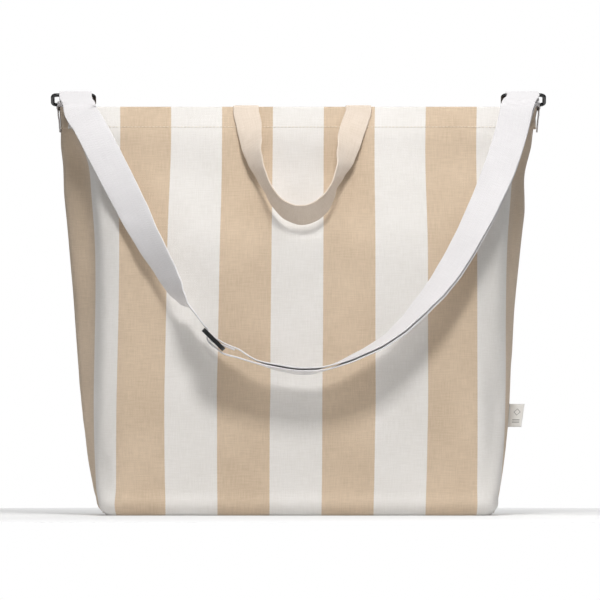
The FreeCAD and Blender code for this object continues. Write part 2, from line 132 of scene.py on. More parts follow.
def area_light(name, place, target, size, power):
    light = bpy.data.lights.new(name, "AREA")
    light.size = size
    light.energy = power
    lamp = bpy.data.objects.new(name, light)
    lamp.location = place
    lamp.rotation_euler = (Vector(target) - Vector(place)).to_track_quat("-Z", "Y").to_euler()
    bpy.context.scene.collection.objects.link(lamp)


MIDDLE = (0, 0, 0.25)
area_light("key", (0.08, -1.25, 1.50), (0, 0, 0.36), 0.36, 20.5)
area_light("top", (0.0, -0.7, 2.3), (0, 0, 0.4), 1.0, 15)
area_light("left_fill", (-2.2, -1.5, 0.9), MIDDLE, 1.6, 10)
area_light("right_fill", (2.2, -1.6, 0.9), MIDDLE, 1.6, 9)
area_light("back", (0.4, 2.4, 1.8), MIDDLE, 2.0, 46)

world = bpy.data.worlds.new("studio")
bpy.context.scene.world = world
world.use_nodes = True
studio = world.node_tree
soft_light = studio.nodes["Background"]
soft_light.inputs["Color"].default_value = (1.0, 1.0, 1.0, 1)
soft_light.inputs["Strength"].default_value = 0.14
backdrop = studio.nodes.new("ShaderNodeBackground")
backdrop.inputs["Color"].default_value = (1.0, 1.0, 1.0, 1)
seen = studio.nodes.new("ShaderNodeMixShader")
studio.links.new(studio.nodes.new("ShaderNodeLightPath").outputs["Is Camera Ray"], seen.inputs["Fac"])
studio.links.new(soft_light.outputs[0], seen.inputs[1])
studio.links.new(backdrop.outputs[0], seen.inputs[2])
studio.links.new(seen.outputs[0], studio.nodes["World Output"].inputs["Surface"])
bpy.context.scene.view_settings.view_transform = "Standard"


# ---- materials -------------------------------------------------------------------------------
class Nodes:
    """Short names for the nodes of one material."""

    def __init__(self, name, roughness, sheen=0.0):
        self.material = bpy.data.materials.new(name)
        self.material.use_nodes = True
        self.tree = self.material.node_tree
        self.shader = self.tree.nodes["Principled BSDF"]
        self.shader.inputs["Roughness"].default_value = roughness
        self.shader.inputs["Sheen Weight"].default_value = sheen
        self.shader.inputs["Sheen Roughness"].default_value = 0.6

    def add(self, kind, **settings):
        node = self.tree.nodes.new(kind)
        for key, value in settings.items():
            setattr(node, key, value)
        return node

    def link(self, source, target):
        self.tree.links.new(source, target)

    def math(self, operation, first, second=None, third=None):
        node = self.add("ShaderNodeMath", operation=operation)
        for socket, value in zip(node.inputs, (first, second, third)):
            if value is None:
                continue
            if isinstance(value, (int, float)):
                socket.default_value = value
            else:
                self.link(value, socket)
        return node.outputs[0]

    def uv(self):
        split = self.add("ShaderNodeSeparateXYZ")
        self.link(self.add("ShaderNodeTexCoord").outputs["UV"], split.inputs[0])
        return split.outputs[0], split.outputs[1]

    def vector(self, x, y, z=0.0):
        node = self.add("ShaderNodeCombineXYZ")
        for socket, value in zip(node.inputs, (x, y, z)):
            if isinstance(value, (int, float)):
                socket.default_value = value
            else:
                self.link(value, socket)
        return node.outputs[0]

    def noise(self, vector, scale, detail=3.0, stretch=None):
        if stretch is not None:
            scaled = self.add("ShaderNodeVectorMath", operation="MULTIPLY")
            scaled.inputs[1].default_value = stretch
            self.link(vector, scaled.inputs[0])
            vector = scaled.outputs[0]
        node = self.add("ShaderNodeTexNoise")
        node.inputs["Scale"].default_value = scale
        node.inputs["Detail"].default_value = detail
        self.link(vector, node.inputs["Vector"])
        return node.outputs["Fac"]

    def blend(self, share, first, second):
        node = self.add("ShaderNodeMix", data_type="RGBA")
        sockets = (node.inputs["Factor"], node.inputs[6], node.inputs[7])
        for socket, value in zip(sockets, (share, first, second)):
            if isinstance(value, tuple):
                socket.default_value = (*value, 1)
            elif isinstance(value, float):
                socket.default_value = value
            else:
                self.link(value, socket)
        return node.outputs[2]

    def wave(self, coordinate, pitch):
        """Rises and falls once in every pitch, from 0 to 1."""
        turn = self.math("MULTIPLY", coordinate, 2 * math.pi / pitch)
        return self.math("MULTIPLY_ADD", self.math("SINE", turn), 0.5, 0.5)

    def finish(self, color, height, distance, strength=1.0):
        self.link(color, self.shader.inputs["Base Color"])
        bump = self.add("ShaderNodeBump")
        bump.inputs["Distance"].default_value = distance
        bump.inputs["Strength"].default_value = strength
        self.link(height, bump.inputs["Height"])
        self.link(bump.outputs[0], self.shader.inputs["Normal"])
        return self.material


SAND = (0.665, 0.522, 0.380)
SAND_DARK = (0.532, 0.408, 0.287)
OFF_WHITE = (0.790, 0.762, 0.730)
OFF_WHITE_DARK = (0.710, 0.680, 0.640)
THREAD_PITCH = 0.0011


def plain_weave(n, u, v):
    """Height of a plain weave: warp and weft pass over one another in turn."""
    warp = n.wave(u, THREAD_PITCH)
    weft = n.wave(v, THREAD_PITCH)
    half_u = n.math("SINE", n.math("MULTIPLY", u, math.pi / THREAD_PITCH))
    half_v = n.math("SINE", n.math("MULTIPLY", v, math.pi / THREAD_PITCH))
    turn = n.math("GREATER_THAN", n.math("MULTIPLY", half_u, half_v), 0.0)
    over = n.math("MULTIPLY", warp, turn)
    under = n.math("MULTIPLY", weft, n.math("SUBTRACT", 1.0, turn))
    return n.math("ADD", over, under)


def mottled(n, place, light, dark):
    """Yarn colour that varies in slubs along both thread directions and in broad soft patches."""
    warp_slub = n.noise(place, 1.0, 2.0, (900.0, 60.0, 1.0))
    weft_slub = n.noise(place, 1.0, 2.0, (60.0, 900.0, 1.0))
    patches = n.noise(place, 14.0, 4.0)
    slubs = n.math("MULTIPLY", n.math("ADD", warp_slub, weft_slub), 0.5)
    share = n.math("ADD", n.math("MULTIPLY", slubs, 0.9), n.math("MULTIPLY", patches, 0.5))
    share = n.math("MULTIPLY_ADD", n.math("SUBTRACT", share, 0.7), 2.8, 0.5)
    clipped = n.math("MINIMUM", n.math("MAXIMUM", share, 0.0), 1.0)
    return n.blend(clipped, light, dark), slubs


def canvas_material(name, striped):
    n = Nodes(name, 0.92, 0.25)
    u, v = n.uv()
    place = n.vector(u, v)
    sand, slubs = mottled(n, place, SAND, SAND_DARK)
    color = sand
    if striped:
        white, _ = mottled(n, place, OFF_WHITE, OFF_WHITE_DARK)
        ragged = n.math("MULTIPLY", n.math("SUBTRACT", n.noise(place, 1500.0, 1.0), 0.5), 0.0012)
        across = n.math("ADD", u, ragged)
        turn = n.math("ADD", n.math("DIVIDE", across, 2 * STRIPE * MM), 0.25)
        is_sand = n.math("GREATER_THAN", n.math("FRACT", n.math("ADD", turn, 10.0)), 0.5)
        color = n.blend(is_sand, white, sand)
    weave = plain_weave(n, u, v)
    height = n.math("ADD", weave, n.math("MULTIPLY", slubs, 1.6))
    return n.finish(color, height, 0.00022, 0.8)


def webbing_material(name, light, dark, rib_pitch, rib_lean):
    """Woven tape: fine zigzag ribs, slubs in its yarn and finer lines along its length."""
    n = Nodes(name, 0.86, 0.3)
    u, v = n.uv()
    place = n.vector(u, v)
    base, slubs = mottled(n, place, light, dark)
    leaning = n.math("ADD", v, n.math("MULTIPLY", n.math("PINGPONG", u, 0.0035), rib_lean))
    ribs = n.wave(leaning, rib_pitch)
    lines = n.wave(u, 0.0014)
    color = n.blend(n.math("MULTIPLY", ribs, 0.16), base, dark)
    height = n.math("ADD", n.math("MULTIPLY", ribs, 0.9), n.math("MULTIPLY", lines, 0.5))
    return n.finish(color, n.math("ADD", height, slubs), 0.00022, 0.55)


def thread_material(name, color, dark):
    n = Nodes(name, 0.7, 0.2)
    place = n.add("ShaderNodeTexCoord").outputs["Object"]
    twist = n.noise(place, 2200.0, 1.0)
    return n.finish(n.blend(twist, color, dark), twist, 0.0001)


def hardware_material():
    """Black lacquer on metal, a little orange peel, thinner and lighter where it rubs."""
    n = Nodes("black_hardware", 0.34)
    n.shader.inputs["Coat Weight"].default_value = 0.35
    n.shader.inputs["Coat Roughness"].default_value = 0.22
    place = n.add("ShaderNodeTexCoord").outputs["Object"]
    peel = n.noise(place, 900.0, 2.0)
    worn = n.math("GREATER_THAN", n.noise(place, 260.0, 4.0), 0.68)
    color = n.blend(n.math("MULTIPLY", worn, 0.5), (0.011, 0.011, 0.012), (0.045, 0.043, 0.042))
    return n.finish(color, peel, 0.00008, 0.5)


def label_material():
    """Woven label: damask ground with a small diamond outline above two short bars, a neutral motif."""
    middle = 0.0095
    diamond_level = 0.0040
    diamond_reach = 0.0036
    bar_levels = (-0.0052, -0.0078)
    bar_half_length = 0.0042
    dark_yarn = (0.20, 0.19, 0.18)
    n = Nodes("label_weave", 0.75, 0.2)
    u, v = n.uv()

    def distance(value, level):
        return n.math("ABSOLUTE", n.math("SUBTRACT", value, level))

    ground = n.wave(n.math("ADD", u, v), 0.0006)
    color = n.blend(n.math("MULTIPLY", ground, 0.25), (0.86, 0.85, 0.82), (0.74, 0.73, 0.70))
    inside = n.math("LESS_THAN", distance(u, middle), bar_half_length)
    for level in bar_levels:
        bar = n.math("LESS_THAN", distance(v, level), 0.0006)
        color = n.blend(n.math("MULTIPLY", n.math("MULTIPLY", bar, inside), 0.75), color, dark_yarn)
    diamond = n.math("ADD", distance(u, middle), distance(v, diamond_level))
    rim = n.math("LESS_THAN", distance(diamond, diamond_reach), 0.0005)
    color = n.blend(n.math("MULTIPLY", rim, 0.7), color, dark_yarn)
    return n.finish(color, ground, 0.0001)


CANVAS = canvas_material("striped_canvas", True)
HANDLE_WEBBING = webbing_material("handle_webbing", (0.715, 0.615, 0.525), (0.610, 0.510, 0.410), 0.0021, 0.8)
STRAP_WEBBING = webbing_material("strap_webbing", (0.710, 0.692, 0.698), (0.640, 0.622, 0.628), 0.0024, 0.8)
SEAM_TAPE = webbing_material("seam_tape", (0.800, 0.770, 0.700), (0.700, 0.660, 0.590), 0.0016, 0.5)
THREAD = thread_material("thread", (0.770, 0.695, 0.590), (0.660, 0.585, 0.480))
BLACK = hardware_material()
LABEL = label_material()


# ---- mesh helpers ----------------------------------------------------------------------------
def new_object(name, points, faces, uvs=None, material=None, shade=True):
    """Mesh from points in millimetres. uvs has one pair for each corner of each face, in metres."""
    mesh = bpy.data.meshes.new(name)
    mesh.from_pydata([tuple(c * MM for c in p) for p in points], [], faces)
    if uvs is not None:
        layer = mesh.uv_layers.new(name="cloth")
        layer.data.foreach_set("uv", np.array(uvs, np.float32).ravel())
    if shade:
        mesh.shade_smooth()
    piece = bpy.data.objects.new(name, mesh)
    bpy.context.scene.collection.objects.link(piece)
    if material is not None:
        mesh.materials.append(material)
    return piece


def apply_modifiers(piece):
    graph = bpy.context.evaluated_depsgraph_get()
    done = bpy.data.meshes.new_from_object(piece.evaluated_get(graph))
    old = piece.data
    piece.modifiers.clear()
    piece.data = done
    bpy.data.meshes.remove(old)


# ---- the canvas shell ------------------------------------------------------------------------
COLUMNS = 168               # round the bag
ROWS = 62                   # from the fold at the base to the rim
BASE_ROUND = 9.0            # radius of the fold at the base


def ring_polygon(height):
    """Closed outline of the bag at one height: from the front's middle, to the right, all round."""
    seam, shoulder_x, shoulder_y, flat, depth = from_rows(LEVELS, max(height, LEVELS[0][0]))
    quarter = [(flat, depth), (shoulder_x, shoulder_y)]
    right = [(x, -y) for x, y in quarter] + [(seam, 0.0)] + [(x, y) for x, y in reversed(quarter)]
    tuck = from_rows(LEFT_TUCK, height)[0]
    left = [(-x + (tuck if x == shoulder_x else 0.0), y) for x, y in reversed(right)]
    loop = [(0.0, -depth)] + right + [(0.0, depth)] + left
    return np.array(loop + [loop[0]])


def ring_points(height):
    """Evenly spaced points round the bag at a height, corners rounded as cloth rounds them."""
    gathered = np.zeros((COLUMNS, 2))
    lifts = (-18.0, -6.0, 6.0, 18.0)
    shares = (-1.0, -0.66, -0.33, 0.0, 0.33, 0.66, 1.0)
    window = mix(18.0, 7.0, smooth(395, 472, height))
    for lift in lifts:
        level = min(max(height + lift * (1 - smooth(430, 470, height)), 2.0), RIM_Z)
        loop = ring_polygon(level)
        steps = np.hypot(*np.diff(loop, axis=0).T)
        reach = np.concatenate([[0], np.cumsum(steps)])
        total = reach[-1]
        for share in shares:
            at = (np.arange(COLUMNS) / COLUMNS * total + share * window) % total
            gathered[:, 0] += np.interp(at, reach, loop[:, 0])
            gathered[:, 1] += np.interp(at, reach, loop[:, 1])
    points = gathered / (len(lifts) * len(shares))
    for index, (x, y) in enumerate(points):
        out = 1 - smooth(10, 55, abs(y))
        rows = LEFT_BULGE if x < 0 else RIGHT_BULGE
        points[index, 0] += math.copysign(1.0, x) * from_rows(rows, height)[0] * out
    return points


def height_of_row(row):
    return RIM_Z * (row / (ROWS - 1)) ** 0.97


def cloth_u(index):
    """Flat distance from the middle of the column's own panel, in millimetres."""
    turn = index / COLUMNS
    across = (turn if turn <= 0.25 else turn - 0.5 if turn < 0.75 else turn - 1.0)
    return across * 4 * CLOTH_HALF * (1 if turn <= 0.25 or turn >= 0.75 else -1)


# Hollows of the front panel: place x and z, reach x and z, depth.
FRONT_HOLLOWS = [
    (62, 365, 8, 75, 2.4), (-60, 436, 9, 18, 1.4), (28, 265, 30, 120, 4.5), (-62, 150, 36, 24, 5.5),
    (66, 140, 46, 30, 4.0), (-118, 330, 24, 80, 2.5), (142, 330, 26, 90, 3.0), (150, 90, 40, 60, 2.5),
]


def soft_hollow(x, z, place_x, place_z, reach_x, reach_z):
    return math.exp(-((x - place_x) / reach_x) ** 2 - ((z - place_z) / reach_z) ** 2)


def sink(x, y, z):
    """How far the cloth lies inside the frame's outline: slack waves, hollows and soft creases."""
    away_from_seam = 0.2 + 0.8 * smooth(8, 50, abs(y))
    free = smooth(0, 60, z) * (1 - smooth(400, 446, z)) * away_from_seam
    wave = 0.5 + 0.5 * noise.noise(Vector((x / 95, y / 60 + 3.0, z / 210)))
    fine = 0.5 + 0.5 * noise.noise(Vector((x / 38 + 9.0, y / 38, z / 120)))
    depth = (wave * 5.2 + fine * 1.4) * free
    front = smooth(30, 60, -y)
    rim_slack = smooth(300, 400, z) * (1 - smooth(415, 448, z))
    depth += rim_slack * front * (0.8 + 0.8 * math.sin(x / 26.0 + 0.6 * math.sin(z / 60)))
    for place_x, place_z, reach_x, reach_z, most in FRONT_HOLLOWS:
        depth += front * most * soft_hollow(x, z, place_x, place_z, reach_x, reach_z)
    side = 1 - smooth(60, 90, abs(y))
    if x < 0:
        depth += side * 9.0 * soft_hollow(y, z, -34, 418, 16, 24)
        depth += side * 3.5 * soft_hollow(y, z, -46, 320, 12, 110)
    else:
        depth += side * 4.0 * soft_hollow(y, z, -34, 405, 16, 50)
        depth += side * 3.0 * soft_hollow(y, z, -44, 300, 12, 80)
    return depth + 0.4 * smooth(0, 30, z) * (1 - smooth(440, 460, z))


def shell_points():
    """Grid of the cloth before the simulation, one row for each height."""
    rows = []
    for row in range(ROWS):
        height = height_of_row(row)
        ring = ring_points(height)
        fold = max(BASE_ROUND - height, 0.0)
        tuck = BASE_ROUND - math.sqrt(max(BASE_ROUND ** 2 - fold ** 2, 0.0))
        before = np.roll(ring, 1, axis=0)
        after = np.roll(ring, -1, axis=0)
        line = []
        for index in range(COLUMNS):
            along = after[index] - before[index]
            outward = np.array([along[1], -along[0]]) / np.linalg.norm(along)
            x, y = ring[index]
            inset = sink(x, y, height) + tuck
            spot = ring[index] - outward * inset
            line.append((spot[0], spot[1], height))
        rows.append(line)
    return np.array(rows)


def simulate(grid):
    """Lets the cloth settle between its rim and its base, which are pinned, as are the side seams."""
    points = grid.reshape(-1, 3)
    faces = [(r * COLUMNS + c, r * COLUMNS + (c + 1) % COLUMNS,
              (r + 1) * COLUMNS + (c + 1) % COLUMNS, (r + 1) * COLUMNS + c)
             for r in range(ROWS - 1) for c in range(COLUMNS)]
    cloth = new_object("cloth_draft", points, faces)
    held = cloth.vertex_groups.new(name="held")
    for row in range(ROWS):
        height = height_of_row(row)
        grip = max(1 - smooth(2, 30, height), smooth(425, 452, height))
        for column in range(COLUMNS):
            near_seam = 1 - min(abs(abs(cloth_u(column)) - CLOTH_HALF) / 20.0, 1.0)
            held.add([row * COLUMNS + column], max(grip, 0.9 * near_seam), "REPLACE")
    cloth.modifiers.new("settle", "CLOTH")
    settings = cloth.modifiers["settle"].settings
    settings.quality = 6
    settings.mass = 0.35
    settings.tension_stiffness = 18
    settings.compression_stiffness = 18
    settings.shear_stiffness = 6
    settings.bending_stiffness = 6
    settings.shrink_min = -0.006
    settings.vertex_group_mass = "held"
    settings.pin_stiffness = 1.0
    settings.use_pressure = True
    settings.uniform_pressure_force = 0.25
    cloth.modifiers["settle"].collision_settings.use_collision = False
    cloth.modifiers["settle"].point_cache.frame_end = 24
    scene = bpy.context.scene
    for step in range(1, 23):
        scene.frame_set(step)
    graph = bpy.context.evaluated_depsgraph_get()
    settled = bpy.data.meshes.new_from_object(cloth.evaluated_get(graph))
    moved = np.empty(len(points) * 3)
    settled.vertices.foreach_get("co", moved)
    moved = moved.reshape(-1, 3) / MM
    bpy.data.objects.remove(cloth)
    scene.frame_set(1)
    return moved.reshape(grid.shape)


def keep_close(before, after, inward=5.0, outward=1.8):
    """Caps how far the simulation may move each point, less outward than inward."""
    result = before.copy()
    for row in range(ROWS):
        ring = before[row]
        along = np.roll(ring, -1, axis=0) - np.roll(ring, 1, axis=0)
        out = np.stack([along[:, 1], -along[:, 0]], axis=1)
        out /= np.linalg.norm(out, axis=1)[:, None]
        shift = after[row] - before[row]
        depth = np.clip((shift[:, :2] * out).sum(1), -inward, outward)
        result[row, :, :2] += out * depth[:, None]
        result[row, :, 2] += np.clip(shift[:, 2], -2.0, 2.0)
    return result


def soften(grid, passes=2):
    """Light smoothing of the free rows."""
    for _ in range(passes):
        around = (np.roll(grid, 1, axis=1) + np.roll(grid, -1, axis=1)) / 2
        around[1:-1] = (around[1:-1] * 2 + grid[2:] + grid[:-2]) / 4
        weight = np.array([smooth(10, 40, height_of_row(r)) * (1 - smooth(455, 473, height_of_row(r)))
                           for r in range(ROWS)])[:, None, None]
        grid = grid * (1 - 0.5 * weight) + around * 0.5 * weight
    return grid


draft = shell_points()
shell = soften(keep_close(draft, simulate(draft)))


def outward_at(grid, row, column):
    ring = grid[row]
    along = ring[(column + 1) % COLUMNS] - ring[column - 1]
    out = Vector((along[1], -along[0], 0))
    return out.normalized()


def printed_u(u, height):
    """Where the stripes lie: they lean and spread a little towards the base, where the bag is full."""
    down = 1 - height / RIM_Z
    return (u + 3.5 * down) / (0.993 + 0.0315 * down)


def panel(name, side):
    """One panel with the hem folded over its rim and down inside, and its edge folded at the base."""
    half = COLUMNS // 2
    start = -half // 2 if side < 0 else half // 2
    columns = [(start + step) % COLUMNS for step in range(half + 1)]
    points = []
    lengths = []
    for row in range(ROWS):
        for column in columns:
            points.append(tuple(shell[row, column]))
        lengths.append(height_of_row(row))
    fold_radius = 1.7
    hem_rows = [(fold_radius * (1 - math.cos(a)), fold_radius * math.sin(a))
                for a in (math.radians(d) for d in (35, 70, 110, 145, 180))]
    hem_rows += [(2 * fold_radius + 0.25 * math.sin(step), -HEM * step / 6) for step in range(1, 7)]
    length = RIM_Z
    last = (0.0, 0.0)
    for inset, rise in hem_rows:
        length += math.hypot(inset - last[0], rise - last[1])
        last = (inset, rise)
        for column in columns:
            out = outward_at(shell, ROWS - 1, column)
            slope = (front_depth(RIM_Z) - front_depth(RIM_Z - HEM)) / HEM
            top = Vector(shell[ROWS - 1, column])
            spread = -slope * max(-rise, 0.0) * smooth(20, 60, abs(top.y))
            points.append(tuple(top - out * (inset - spread) + Vector((0, 0, rise))))
        lengths.append(length)
    width = len(columns)
    faces = []
    uvs = []
    across = [(-CLOTH_HALF + 2 * CLOTH_HALF * step / half) for step in range(half + 1)]
    for row in range(len(lengths) - 1):
        for step in range(half):
            corners = [(row, step), (row, step + 1), (row + 1, step + 1), (row + 1, step)]
            faces.append([r * width + c for r, c in corners])
            for r, c in corners:
                uvs.append((printed_u(across[c], min(lengths[r], RIM_Z)) * MM, lengths[r] * MM))
    piece = new_object(name, points, faces, uvs, CANVAS)
    finer = piece.modifiers.new("finer", "SUBSURF")
    finer.levels = 1
    finer.render_levels = 1
    thick = piece.modifiers.new("thickness", "SOLIDIFY")
    thick.thickness = CLOTH * MM
    thick.offset = -1
    apply_modifiers(piece)
    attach(piece, "bag")
    return piece


front = panel("front_canvas", -1)
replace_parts(front, "front_panel", "front_hem")
back = panel("back_canvas", 1)
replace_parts(back, "back_panel", "back_hem")


def base():
    """Bottom of the bag: the cloth runs from the fold at the front to the fold at the back."""
    half = COLUMNS // 2
    quarter = half // 2
    strips = 14
    points = []
    for step in range(half + 1):
        near = Vector(shell[0, (step - quarter) % COLUMNS])
        far = Vector(shell[0, (half + quarter - step) % COLUMNS])
        for strip in range(strips + 1):
            share = strip / strips
            spot = near.lerp(far, share)
            lift = 0.35 + 0.9 * math.sin(math.pi * share) * (0.5 + 0.5 * noise.noise(spot / 70))
            points.append((spot.x, spot.y, lift))
    width = strips + 1
    faces = []
    uvs = []
    for step in range(half):
        for strip in range(strips):
            corners = [(step, strip), (step, strip + 1), (step + 1, strip + 1), (step + 1, strip)]
            faces.append([s * width + t for s, t in corners])
            for s, t in corners:
                x, y, _ = points[s * width + t]
                uvs.append((printed_u(x, 0.0) * MM, (y - front_depth(0.0)) * MM))
    faces = [tuple(reversed(f)) for f in faces]
    uvs = [pair for k in range(0, len(uvs), 4) for pair in reversed(uvs[k:k + 4])]
    piece = new_object("base_canvas", points, faces, uvs, CANVAS)
    thick = piece.modifiers.new("thickness", "SOLIDIFY")
    thick.thickness = CLOTH * MM
    thick.offset = 1
    apply_modifiers(piece)
    for vertex in piece.data.vertices:
        vertex.co.z = max(vertex.co.z, 0.0)
    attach(piece, "bag")
    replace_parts(piece, "base_panel")
    return piece


bottom = base()


# ---- webbing ---------------------------------------------------------------------------------
def catmull(points, spacing):
    """Finer points on a smooth curve through the given ones, with the share of the way between them."""
    fine = []
    for index in range(len(points) - 1):
        p1, p2 = points[index], points[index + 1]
        p0 = points[index - 1] if index else p1 * 2 - p2
        p3 = points[index + 2] if index + 2 < len(points) else p2 * 2 - p1
        gaps = [max((b - a).length, 1e-6) ** 0.5 for a, b in ((p0, p1), (p1, p2), (p2, p3))]
        t1 = gaps[0]
        t2 = t1 + gaps[1]
        t3 = t2 + gaps[2]
        count = max(1, round((p2 - p1).length / spacing))
        for step in range(count):
            t = mix(t1, t2, step / count)
            a1 = p0.lerp(p1, t / t1)
            a2 = p1.lerp(p2, (t - t1) / (t2 - t1))
            a3 = p2.lerp(p3, (t - t2) / (t3 - t2))
            b1 = a1.lerp(a2, t / t2)
            b2 = a2.lerp(a3, (t - t1) / (t3 - t1))
            fine.append((b1.lerp(b2, (t - t1) / (t2 - t1)), index + step / count))
    fine.append((points[-1], len(points) - 1.0))
    return fine


def section(width, thickness):
    """Cross-section of webbing: flat faces, rounded edges, selvages a little thicker."""
    half = width / 2
    thin = thickness / 2
    top = []
    for step in range(9):
        x = mix(-half + thin, half - thin, step / 8)
        edge = smooth(half - 3.2, half - 1.4, abs(x))
        top.append((x, thin * (0.86 + 0.14 * edge)))
    right = [(half - thin * (1 - math.cos(a)), thin * math.sin(a)) for a in (0.9, 0.3, -0.3, -0.9)]
    bottom = [(x, z - 2 * thin * 0.95) for x, z in reversed(top)]
    left = [(-x, -z) for x, z in right]
    return top + right + bottom + left


def ribbon(name, points, hints, width, thickness, material, spacing=4.0, wobble=0.0):
    """Strip of webbing along a route; hints give its across direction at each point."""
    fine = catmull(points, spacing)
    shape = section(width, thickness)
    count = len(shape)
    reach = [0.0]
    for k in range(1, len(shape)):
        reach.append(reach[-1] + math.hypot(shape[k][0] - shape[k - 1][0], shape[k][1] - shape[k - 1][1]))
    mesh_points = []
    lengths = []
    length = 0.0
    for index, (spot, share) in enumerate(fine):
        before = fine[max(index - 1, 0)][0]
        after = fine[min(index + 1, len(fine) - 1)][0]
        tangent = (after - before).normalized()
        low = min(int(share), len(hints) - 2)
        part = share - low
        hint = hints[low].lerp(hints[low + 1], part * part * (3 - 2 * part))
        across = (hint - tangent * hint.dot(tangent)).normalized()
        normal = tangent.cross(across)
        length += (spot - before).length if index else 0.0
        lengths.append(length)
        for x, z in shape:
            sway = wobble * noise.noise(Vector((length / 55.0, x / 30.0, 1.7)))
            mesh_points.append(spot + across * x + normal * (z + sway))
    faces = []
    uvs = []
    for index in range(len(fine) - 1):
        for k in range(count):
            other = (k + 1) % count
            faces.append([index * count + k, index * count + other, (index + 1) * count + other,
                          (index + 1) * count + k])
            around = (reach[k], reach[k + 1] if other else reach[k] + 0.5)
            for step, row in ((0, index), (1, index), (1, index + 1), (0, index + 1)):
                uvs.append((around[step] * MM, lengths[row] * MM))
    last = (len(fine) - 1) * count
    for cap in ([k for k in reversed(range(count))], [last + k for k in range(count)]):
        faces.append(cap)
        for k in cap:
            x, z = shape[k % count]
            uvs.append((x * MM, z * MM))
    return new_object(name, mesh_points, faces, uvs, material)


def canvas_normal(height):
    step = 8.0
    low = max(height - step, 2.0)
    high = min(height + step, RIM_Z)
    slope = (front_depth(high) - front_depth(low)) / (high - low)
    return Vector((0, -1, -slope)).normalized()


def twist_hints(points, twists):
    """Across directions: 0 lies flat to the front of the bag, 90 stands square to it."""
    hints = []
    for index, degrees in enumerate(twists):
        before = points[max(index - 1, 0)]
        after = points[min(index + 1, len(points) - 1)]
        tangent = (after - before).normalized()
        outward = canvas_normal(min(points[index].z, RIM_Z))
        turn = math.radians(degrees)
        in_plane = tangent.cross(outward).normalized()
        hints.append(in_plane * math.cos(turn) - outward * math.sin(turn))
    return hints


def in_front(x, z, stand_off):
    return Vector((x, -front_depth(z) - stand_off, z))


def from_slider(along, up):
    return SLIDER_CENTRE + SLIDER_DOWN * along + SLIDER_UP * up


# ---- hand loops ------------------------------------------------------------------------------
# Shape of a hanging loop from left to right: x, millimetres below the rim, twist in degrees.
HANDLE_ROUTE = [
    (-61, -0.2, 0), (-61, 5, 1), (-58, 18, 10), (-55, 38, 34), (-51, 58, 56), (-43.7, 77, 69),
    (-36, 93, 76), (-25.6, 110, 71), (-11, 121.5, 60), (4, 125, 52), (16.5, 122, 55), (28, 114, 61),
    (36.7, 102, 72), (42, 90, 80), (48.5, 75, 71), (55.3, 54, 45), (60.3, 34, 20), (65.5, 18, 3),
    (70, 5, 0), (70, -0.2, 0),
]


def handle(name, side, nodes):
    """Hand loop: each end comes up inside the hem, turns over the rim and hangs into the loop."""
    points = []
    twists = []
    for x, down, twist in HANDLE_ROUTE:
        edge_reach = math.sin(math.radians(twist)) * HANDLE_WIDTH / 2
        points.append(in_front(x, RIM_Z - down, 2.5 + edge_reach))
        twists.append(twist)
    hints = twist_hints(points, twists)
    right = Vector((1, 0, 0))

    def tongue(x):
        """Over the rim and down inside the hem: distance behind the mouth's front, rise above the rim."""
        steps = [(-1.6, 2.0), (1.6, 2.3), (4.8, 1.7), (5.6, -2.5), (5.2, -12), (3.2, 1 - HEM)]
        return [Vector((x, behind - MOUTH_HALF_DEPTH, RIM_Z + rise)) for behind, rise in steps]

    left_end = list(reversed(tongue(HANDLE_ROUTE[0][0])))
    right_end = tongue(HANDLE_ROUTE[-1][0])
    points = left_end + points + right_end
    hints = [-right] * len(left_end) + hints + [right] * len(right_end)
    if side > 0:
        points = [Vector((p.x, -p.y, p.z)) for p in points]
        hints = [Vector((h.x, -h.y, h.z)) for h in hints]
    piece = ribbon(name, points, hints, HANDLE_WIDTH, 1.9, HANDLE_WEBBING, spacing=3.5, wobble=0.35)
    if side > 0:
        piece.data.flip_normals()
    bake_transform(piece)
    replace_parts(piece, *nodes)
    return piece


for name, side in (("front", -1), ("back", 1)):
    handle(name + "_webbing", side, [name + "_handle", name + "_handle_left_end", name + "_handle_right_end"])


# ---- shoulder strap --------------------------------------------------------------------------
WRAP_RADIUS = ROD / 2 + 1.3


def around_bar(x, start_degrees, end_degrees):
    """Part of a turn round a ring's free bar."""
    points = []
    steps = 11
    for step in range(steps):
        angle = math.radians(mix(start_degrees, end_degrees, step / (steps - 1)))
        y = FREE_Y - WRAP_RADIUS * math.cos(angle)
        points.append(Vector((x, y, FREE_Z + WRAP_RADIUS * math.sin(angle))))
    return points


def strap_upper():
    """From the sewn loop on the left ring down to the middle of the slider."""
    sewn = [Vector((-259.0, -44, FREE_Z - 8.4)), Vector((-260.0, -32, FREE_Z - 6.8))]
    lead = [Vector((-260, -40, FREE_Z - 4)), Vector((-256, -MOUTH_HALF_DEPTH - 3, RIM_Z + 4.4))]
    flat_part = sewn + around_bar(-260.5, -75, -285) + lead
    # Place on the way down, twist in degrees.
    hanging = [
        (in_front(-254.5, 471, 6), 0), (in_front(-246, 458, 4.5), 0), (in_front(-214, 397, 7.5), 13),
        (in_front(-194, 358, 10.5), 24), (in_front(-175, 321, 15.5), 39), (in_front(-156, 288, 20), 49),
        (in_front(-145, 268, 24.5), 57), (in_front(-136, 253.5, 27), 72), (from_slider(-46, 7.6), 89),
        (from_slider(-33, 6.2), 90), (from_slider(-22, 4.4), 90), (from_slider(-15, 4.1), 90),
        (from_slider(-11.6, 3.4), 90), (from_slider(-8.8, 0), 90), (from_slider(-6.2, -4.4), 90),
        (from_slider(-1, -6), 90),
    ]
    route = [p for p, _ in hanging]
    hints = [Vector((-1, 0, 0))] * len(flat_part) + twist_hints(route, [t for _, t in hanging])
    points = flat_part + route
    return ribbon("strap_upper_webbing", points, hints, STRAP_WIDTH, 1.9, STRAP_WEBBING, wobble=0.3)


